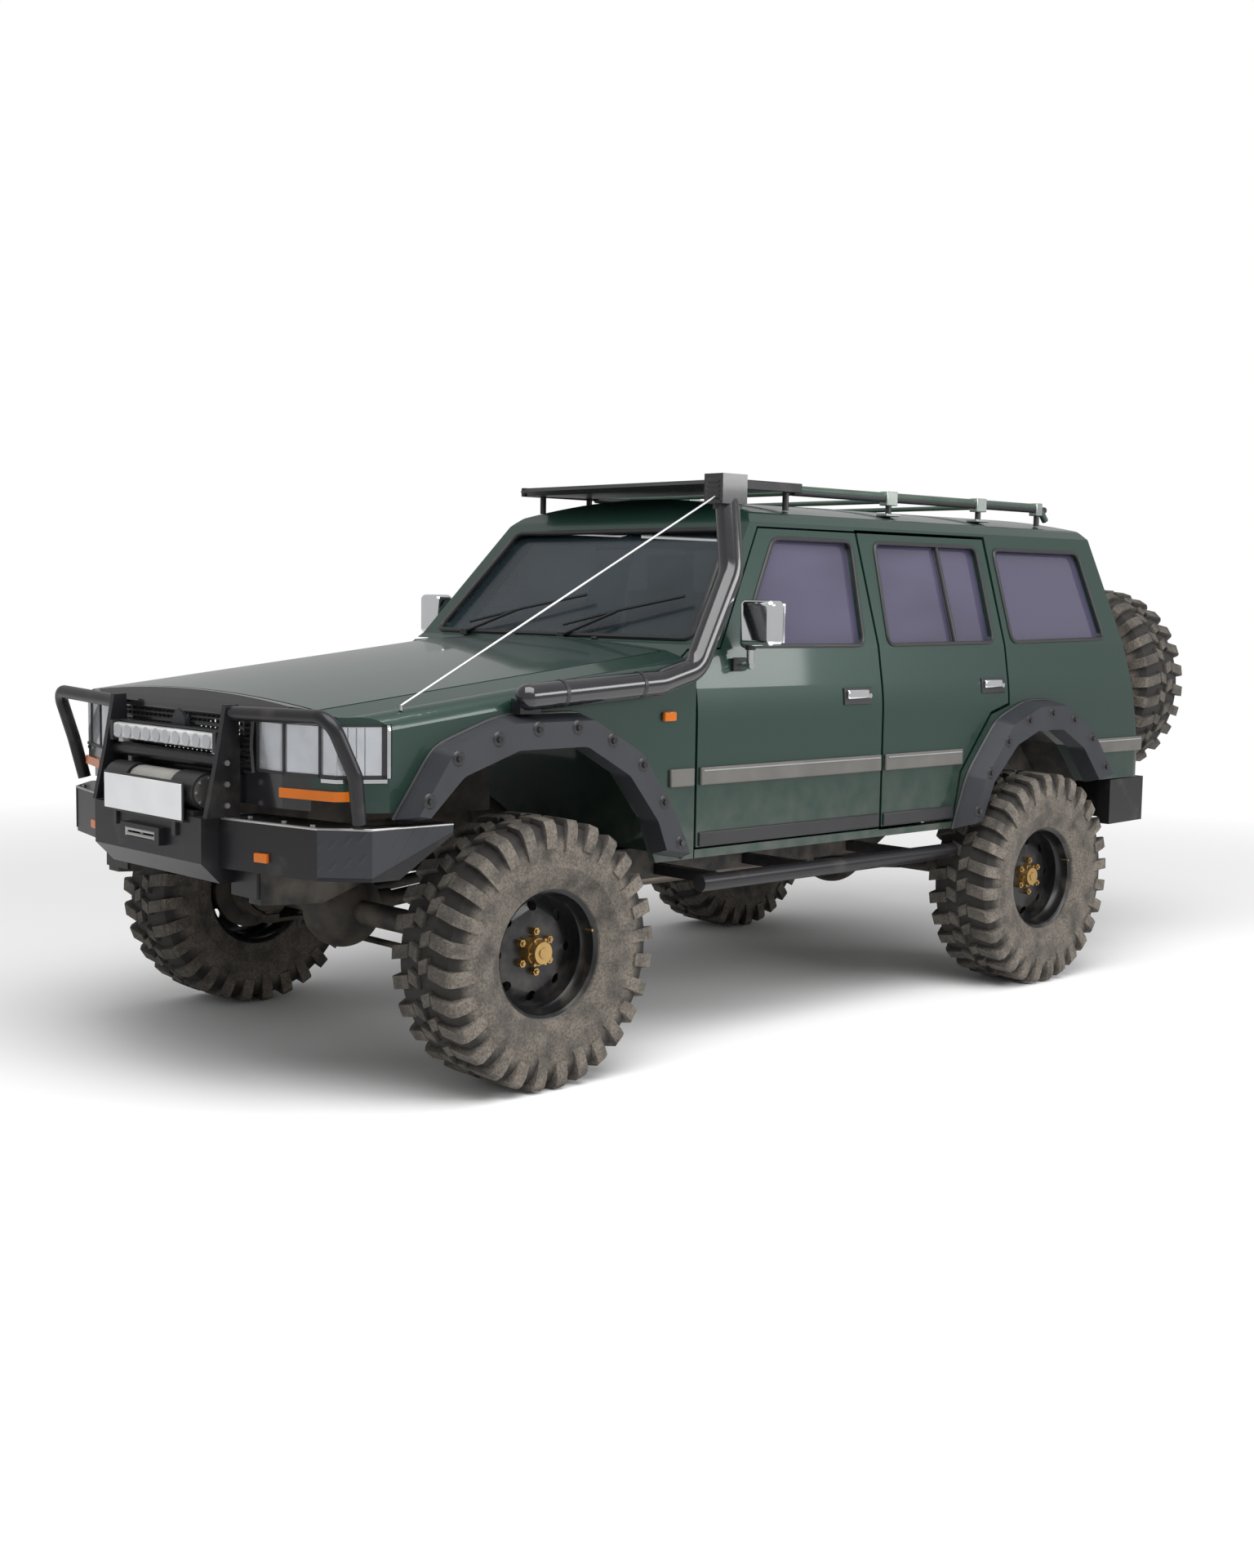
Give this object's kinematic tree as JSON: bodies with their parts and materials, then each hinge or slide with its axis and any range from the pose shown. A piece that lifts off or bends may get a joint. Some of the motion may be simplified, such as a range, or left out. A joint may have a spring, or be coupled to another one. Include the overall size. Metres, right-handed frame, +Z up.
{
  "type": "lifted off-road four-wheel-drive estate car",
  "caption": "Five-door off-road estate car on lugged tyres, with a winch bumper, flares, raised air intake and roof rack; doors open, wheels roll and steer.",
  "frame": {"origin": "on the ground under the middle of the vehicle's box, mid-width and mid-length", "axes": "the front faces -Y, +X is the vehicle's left, +Z is up"},
  "size_m": [2.13, 5.162, 2.122],
  "materials": {
    "tyre": "dusty rubber",
    "wheel_steel": "semi-gloss black",
    "tinted_glass": "tinted",
    "body_paint": "dark metallic green",
    "chrome": "polished",
    "axle_iron": "dusty",
    "black_plastic": "gloss",
    "lamp_lens": "clear",
    "flare_plastic": "textured",
    "bar_paint": "satin black",
    "lamp_white": "pale",
    "winch_paint": "satin",
    "frame_black": "dusty black",
    "exhaust_steel": "weathered",
    "rack_alloy": "painted and bare",
    "cable_steel": "wire",
    "seat_cloth": "woven grey"
  },
  "bodies": {
    "root": {"body_side_left": "body_paint", "body_side_right": "body_paint", "branch_cable": "cable_steel", "bulkhead": "body_paint", "bull_bar": "bar_paint", "dashboard": "black_plastic", "drivetrain": "axle_iron", "engine_block": "axle_iron", "exhaust": "exhaust_steel", "fixed_glass": "tinted_glass", "flares": "flare_plastic", "floor_pan": "frame_black", "front_axle": "axle_iron", "front_bumper": "bar_paint", "front_fenders": "body_paint", "fuel_tank": "frame_black", "grille": "black_plastic", "headlamps": "lamp_lens", "ladder_frame": "frame_black", "light_bar": "lamp_white", "rear_axle": "axle_iron", "rear_bumper": "bar_paint", "rock_sliders": "bar_paint", "roof_panel": "body_paint", "roof_rack": "rack_alloy", "seats": "seat_cloth", "snorkel": "black_plastic", "suspension": "frame_black", "winch": "winch_paint"},
    "bonnet": {"bonnet": "body_paint"},
    "door_front_left": {"door_front_left": "body_paint", "door_glass_front_left": "tinted_glass", "mirror_left": "chrome"},
    "door_front_right": {"door_front_right": "body_paint", "door_glass_front_right": "tinted_glass", "mirror_right": "chrome"},
    "door_rear_left": {"door_rear_left": "body_paint", "door_glass_rear_left": "tinted_glass"},
    "door_rear_right": {"door_rear_right": "body_paint", "door_glass_rear_right": "tinted_glass"},
    "rear_door_left": {"rear_door_left": "body_paint", "rear_glass_left": "tinted_glass", "spare_tyre": "tyre", "spare_rim": "wheel_steel"},
    "rear_door_right": {"rear_door_right": "body_paint", "rear_glass_right": "tinted_glass"},
    "knuckle_left": {"knuckle_left": "axle_iron"},
    "knuckle_right": {"knuckle_right": "axle_iron"},
    "tie_rod": {"tie_rod": "frame_black"},
    "wheel_front_left": {"tyre_front_left": "tyre", "rim_front_left": "wheel_steel"},
    "wheel_front_right": {"tyre_front_right": "tyre", "rim_front_right": "wheel_steel"},
    "wheel_rear_left": {"tyre_rear_left": "tyre", "rim_rear_left": "wheel_steel"},
    "wheel_rear_right": {"tyre_rear_right": "tyre", "rim_rear_right": "wheel_steel"}
  },
  "joints": [
    {"name": "bonnet_hinge", "type": "hinge", "parent": "root", "child": "bonnet", "pos_m": [0, -0.841, 1.503], "axis": [-1, 0, 0], "range_deg": [0, 50]},
    {"name": "door_front_left_hinge", "type": "hinge", "parent": "root", "child": "door_front_left", "pos_m": [0.894, -0.788, 0.9], "axis": [0.02, 0, -0.9998], "range_deg": [0, 62]},
    {"name": "door_rear_left_hinge", "type": "hinge", "parent": "root", "child": "door_rear_left", "pos_m": [0.894, 0.28, 0.9], "axis": [0.02, 0, -0.9998], "range_deg": [0, 62]},
    {"name": "door_front_right_hinge", "type": "hinge", "parent": "root", "child": "door_front_right", "pos_m": [-0.894, -0.788, 0.9], "axis": [0.02, 0, 0.9998], "range_deg": [0, 62]},
    {"name": "door_rear_right_hinge", "type": "hinge", "parent": "root", "child": "door_rear_right", "pos_m": [-0.894, 0.28, 0.9], "axis": [0.02, 0, 0.9998], "range_deg": [0, 62]},
    {"name": "rear_door_left_hinge", "type": "hinge", "parent": "root", "child": "rear_door_left", "pos_m": [0.882, 2.22072, 0.7076], "axis": [0, 0.2164, -0.9763], "range_deg": [0, 80]},
    {"name": "rear_door_right_hinge", "type": "hinge", "parent": "root", "child": "rear_door_right", "pos_m": [-0.882, 2.22072, 0.7076], "axis": [0, -0.2164, 0.9763], "range_deg": [0, 80]},
    {"name": "steer_left", "type": "hinge", "parent": "root", "child": "knuckle_left", "pos_m": [0.7, -1.626, 0.46069], "axis": [0, 0, 1], "range_deg": [-30, 30]},
    {"name": "steer_right", "type": "hinge", "parent": "root", "child": "knuckle_right", "pos_m": [-0.7, -1.626, 0.46069], "axis": [0, 0, 1], "range_deg": [-30, 30]},
    {"name": "tie_rod_slide", "type": "slide", "parent": "root", "child": "tie_rod", "axis": [-1, 0, 0], "range_m": [-0.08, 0.08]},
    {"name": "wheel_front_left_spin", "type": "hinge", "parent": "knuckle_left", "child": "wheel_front_left", "pos_m": [0.9015, -1.626, 0.46069], "axis": [1, 0, 0], "continuous": true},
    {"name": "wheel_front_right_spin", "type": "hinge", "parent": "knuckle_right", "child": "wheel_front_right", "pos_m": [-0.9015, -1.626, 0.46069], "axis": [1, 0, 0], "continuous": true},
    {"name": "wheel_rear_left_spin", "type": "hinge", "parent": "root", "child": "wheel_rear_left", "pos_m": [0.9015, 1.224, 0.46069], "axis": [1, 0, 0], "continuous": true},
    {"name": "wheel_rear_right_spin", "type": "hinge", "parent": "root", "child": "wheel_rear_right", "pos_m": [-0.9015, 1.224, 0.46069], "axis": [1, 0, 0], "continuous": true}
  ],
  "couplings": [
    {"joint": "steer_right", "follows": "steer_left", "ratio": 1},
    {"joint": "tie_rod_slide", "follows": "steer_left", "m_per_rad": 0.15}
  ]
}
